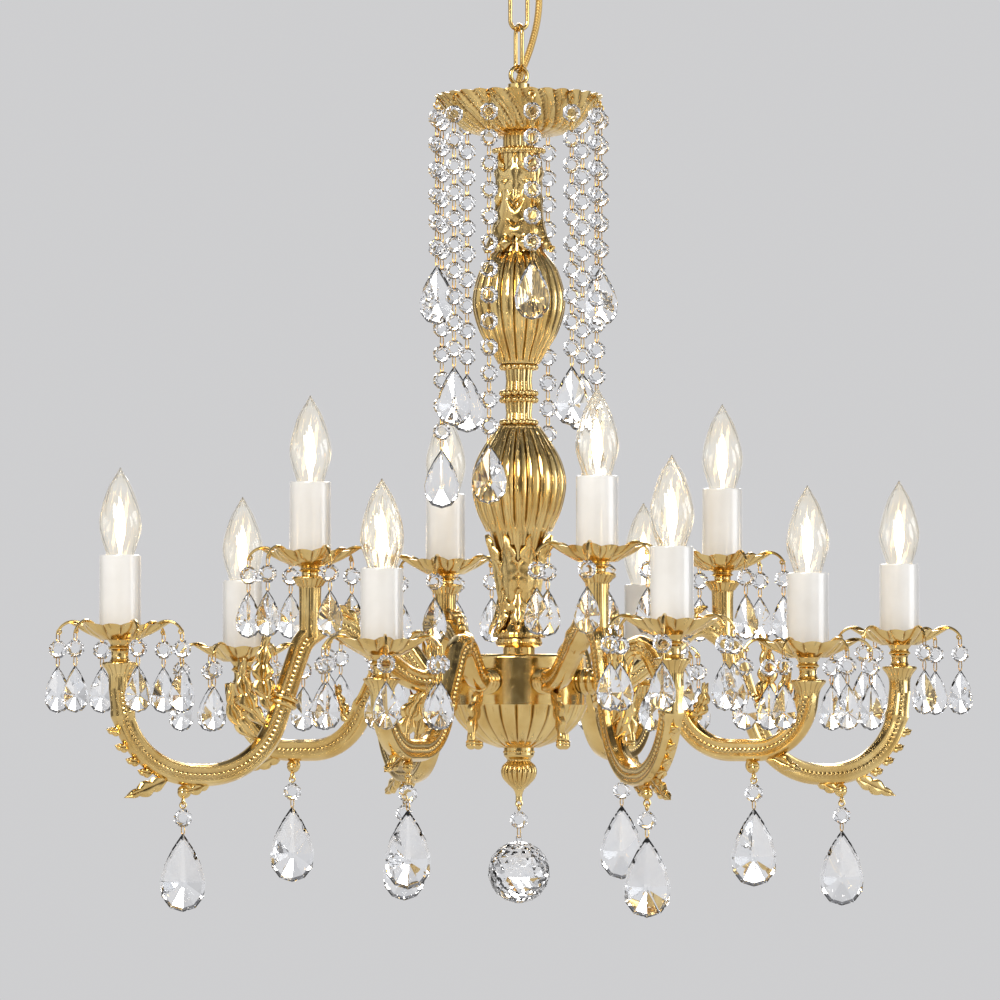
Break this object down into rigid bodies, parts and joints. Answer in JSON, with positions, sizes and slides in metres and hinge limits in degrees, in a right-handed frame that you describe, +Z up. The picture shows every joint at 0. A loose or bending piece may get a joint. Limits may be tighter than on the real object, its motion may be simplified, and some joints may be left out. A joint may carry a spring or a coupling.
{
  "type": "multi arm chandelier",
  "caption": "Gold-plated cast chandelier with double and single scrolled arms, candle lights, scalloped drip pans and swinging crystal strands, hung by a chain from a ceiling fitting.",
  "frame": {"origin": "middle of the ceiling plate's top face, where it meets the ceiling", "axes": "+Z up to the ceiling; the double arms lie along X and Y; the picture looks from -Y, turned 20 degrees"},
  "size_m": [0.788, 0.7786, 0.8185],
  "materials": {
    "gold": "polished gold plate",
    "crystal": "cut and polished",
    "bulb_glass": "clear",
    "candle": "pearly white gloss",
    "cap": "bright",
    "holder": "moulded",
    "cable": "gold sheath",
    "steel": "zinc plated"
  },
  "bodies": {
    "ceiling": {"ceiling_plate": "steel", "ceiling_canopy": "gold", "ceiling_hook": "gold", "power_cable": "cable"},
    "upper_link": {"upper_chain_link": "gold"},
    "lower_link": {"lower_chain_link": "gold"},
    "chandelier": {"suspension_eye": "gold", "top_bowl": "gold", "leaf_column": "gold", "upper_urn": "gold", "middle_knop": "gold", "lower_urn": "gold", "leaf_stem": "gold", "base_ring": "gold", "hub_drum": "gold", "hub_nut": "steel", "centre_rod": "steel", "lower_bowl": "gold", "finial": "gold", "inner_arm_1": "gold", "inner_arm_2": "gold", "inner_arm_3": "gold", "inner_arm_4": "gold", "outer_arm_1": "gold", "outer_arm_2": "gold", "outer_arm_3": "gold", "outer_arm_4": "gold", "single_arm_1": "gold", "single_arm_2": "gold", "single_arm_3": "gold", "single_arm_4": "gold", "drip_pans": "gold", "candle_sleeves": "candle", "lampholders": "holder", "bulb_caps": "cap", "bulb_glass": "bulb_glass", "pan_crystals": "crystal", "pan_pins": "gold"},
    "ball": {"crystal_ball": "crystal"},
    "drop_1": {"arm_drop_1": "crystal"},
    "drop_2": {"arm_drop_2": "crystal"},
    "drop_3": {"arm_drop_3": "crystal"},
    "drop_4": {"arm_drop_4": "crystal"},
    "drop_5": {"arm_drop_5": "crystal"},
    "drop_6": {"arm_drop_6": "crystal"},
    "drop_7": {"arm_drop_7": "crystal"},
    "drop_8": {"arm_drop_8": "crystal"},
    "strand_1": {"strand_1": "crystal"},
    "strand_2": {"strand_2": "crystal"},
    "strand_3": {"strand_3": "crystal"},
    "strand_4": {"strand_4": "crystal"},
    "strand_5": {"strand_5": "crystal"},
    "strand_6": {"strand_6": "crystal"},
    "strand_7": {"strand_7": "crystal"},
    "strand_8": {"strand_8": "crystal"},
    "strand_9": {"strand_9": "crystal"},
    "strand_10": {"strand_10": "crystal"},
    "strand_11": {"strand_11": "crystal"},
    "strand_12": {"strand_12": "crystal"}
  },
  "joints": [
    {"name": "upper_link_swing", "type": "hinge", "parent": "ceiling", "child": "upper_link", "pos_m": [0, 0, -0.0622], "axis": [0, 1, 0], "range_deg": [-10, 10], "deforming": ["power_cable"]},
    {"name": "lower_link_swing", "type": "hinge", "parent": "upper_link", "child": "lower_link", "pos_m": [0, 0, -0.09675], "axis": [1, 0, 0], "range_deg": [-8, 8], "deforming": ["power_cable"]},
    {"name": "chandelier_swing", "type": "hinge", "parent": "lower_link", "child": "chandelier", "pos_m": [0, 0, -0.13145], "axis": [0, 1, 0], "range_deg": [-8, 8], "deforming": ["power_cable"]},
    {"name": "ball_swing", "type": "hinge", "parent": "chandelier", "child": "ball", "pos_m": [0, 0, -0.735], "axis": [1, 0, 0], "range_deg": [-25, 25]},
    {"name": "drop_1_swing", "type": "hinge", "parent": "chandelier", "child": "drop_1", "pos_m": [0.287, 0, -0.7324], "axis": [0, -1, 0], "range_deg": [-30, 30]},
    {"name": "drop_2_swing", "type": "hinge", "parent": "chandelier", "child": "drop_2", "pos_m": [0.14708, 0.14708, -0.7124], "axis": [0.7071, -0.7071, 0], "range_deg": [-30, 30]},
    {"name": "drop_3_swing", "type": "hinge", "parent": "chandelier", "child": "drop_3", "pos_m": [0, 0.287, -0.7324], "axis": [1, 0, 0], "range_deg": [-30, 30]},
    {"name": "drop_4_swing", "type": "hinge", "parent": "chandelier", "child": "drop_4", "pos_m": [-0.14708, 0.14708, -0.7124], "axis": [0.7071, 0.7071, 0], "range_deg": [-30, 30]},
    {"name": "drop_5_swing", "type": "hinge", "parent": "chandelier", "child": "drop_5", "pos_m": [-0.287, 0, -0.7324], "axis": [0, 1, 0], "range_deg": [-30, 30]},
    {"name": "drop_6_swing", "type": "hinge", "parent": "chandelier", "child": "drop_6", "pos_m": [-0.14708, -0.14708, -0.7124], "axis": [-0.7071, 0.7071, 0], "range_deg": [-30, 30]},
    {"name": "drop_7_swing", "type": "hinge", "parent": "chandelier", "child": "drop_7", "pos_m": [0, -0.287, -0.7324], "axis": [-1, 0, 0], "range_deg": [-30, 30]},
    {"name": "drop_8_swing", "type": "hinge", "parent": "chandelier", "child": "drop_8", "pos_m": [0.14708, -0.14708, -0.7124], "axis": [-0.7071, -0.7071, 0], "range_deg": [-30, 30]},
    {"name": "strand_1_swing", "type": "hinge", "parent": "chandelier", "child": "strand_1", "pos_m": [0.06675, -0.01298, -0.1599], "axis": [-0.1908, -0.9816, 0], "range_deg": [-2, 25]},
    {"name": "strand_2_swing", "type": "hinge", "parent": "chandelier", "child": "strand_2", "pos_m": [0.0643, 0.02214, -0.1599], "axis": [0.3256, -0.9455, 0], "range_deg": [-2, 25]},
    {"name": "strand_3_swing", "type": "hinge", "parent": "chandelier", "child": "strand_3", "pos_m": [0.04461, 0.05132, -0.1599], "axis": [0.7547, -0.6561, 0], "range_deg": [-2, 25]},
    {"name": "strand_4_swing", "type": "hinge", "parent": "chandelier", "child": "strand_4", "pos_m": [0.01298, 0.06675, -0.1599], "axis": [0.9816, -0.1908, 0], "range_deg": [-2, 25]},
    {"name": "strand_5_swing", "type": "hinge", "parent": "chandelier", "child": "strand_5", "pos_m": [-0.02214, 0.0643, -0.1599], "axis": [0.9455, 0.3256, 0], "range_deg": [-2, 25]},
    {"name": "strand_6_swing", "type": "hinge", "parent": "chandelier", "child": "strand_6", "pos_m": [-0.05132, 0.04461, -0.1599], "axis": [0.6561, 0.7547, 0], "range_deg": [-2, 25]},
    {"name": "strand_7_swing", "type": "hinge", "parent": "chandelier", "child": "strand_7", "pos_m": [-0.06675, 0.01298, -0.1599], "axis": [0.1908, 0.9816, 0], "range_deg": [-2, 25]},
    {"name": "strand_8_swing", "type": "hinge", "parent": "chandelier", "child": "strand_8", "pos_m": [-0.0643, -0.02214, -0.1599], "axis": [-0.3256, 0.9455, 0], "range_deg": [-2, 25]},
    {"name": "strand_9_swing", "type": "hinge", "parent": "chandelier", "child": "strand_9", "pos_m": [-0.04461, -0.05132, -0.1599], "axis": [-0.7547, 0.6561, 0], "range_deg": [-2, 25]},
    {"name": "strand_10_swing", "type": "hinge", "parent": "chandelier", "child": "strand_10", "pos_m": [-0.01298, -0.06675, -0.1599], "axis": [-0.9816, 0.1908, 0], "range_deg": [-2, 25]},
    {"name": "strand_11_swing", "type": "hinge", "parent": "chandelier", "child": "strand_11", "pos_m": [0.02214, -0.0643, -0.1599], "axis": [-0.9455, -0.3256, 0], "range_deg": [-2, 25]},
    {"name": "strand_12_swing", "type": "hinge", "parent": "chandelier", "child": "strand_12", "pos_m": [0.05132, -0.04461, -0.1599], "axis": [-0.6561, -0.7547, 0], "range_deg": [-2, 25]}
  ]
}
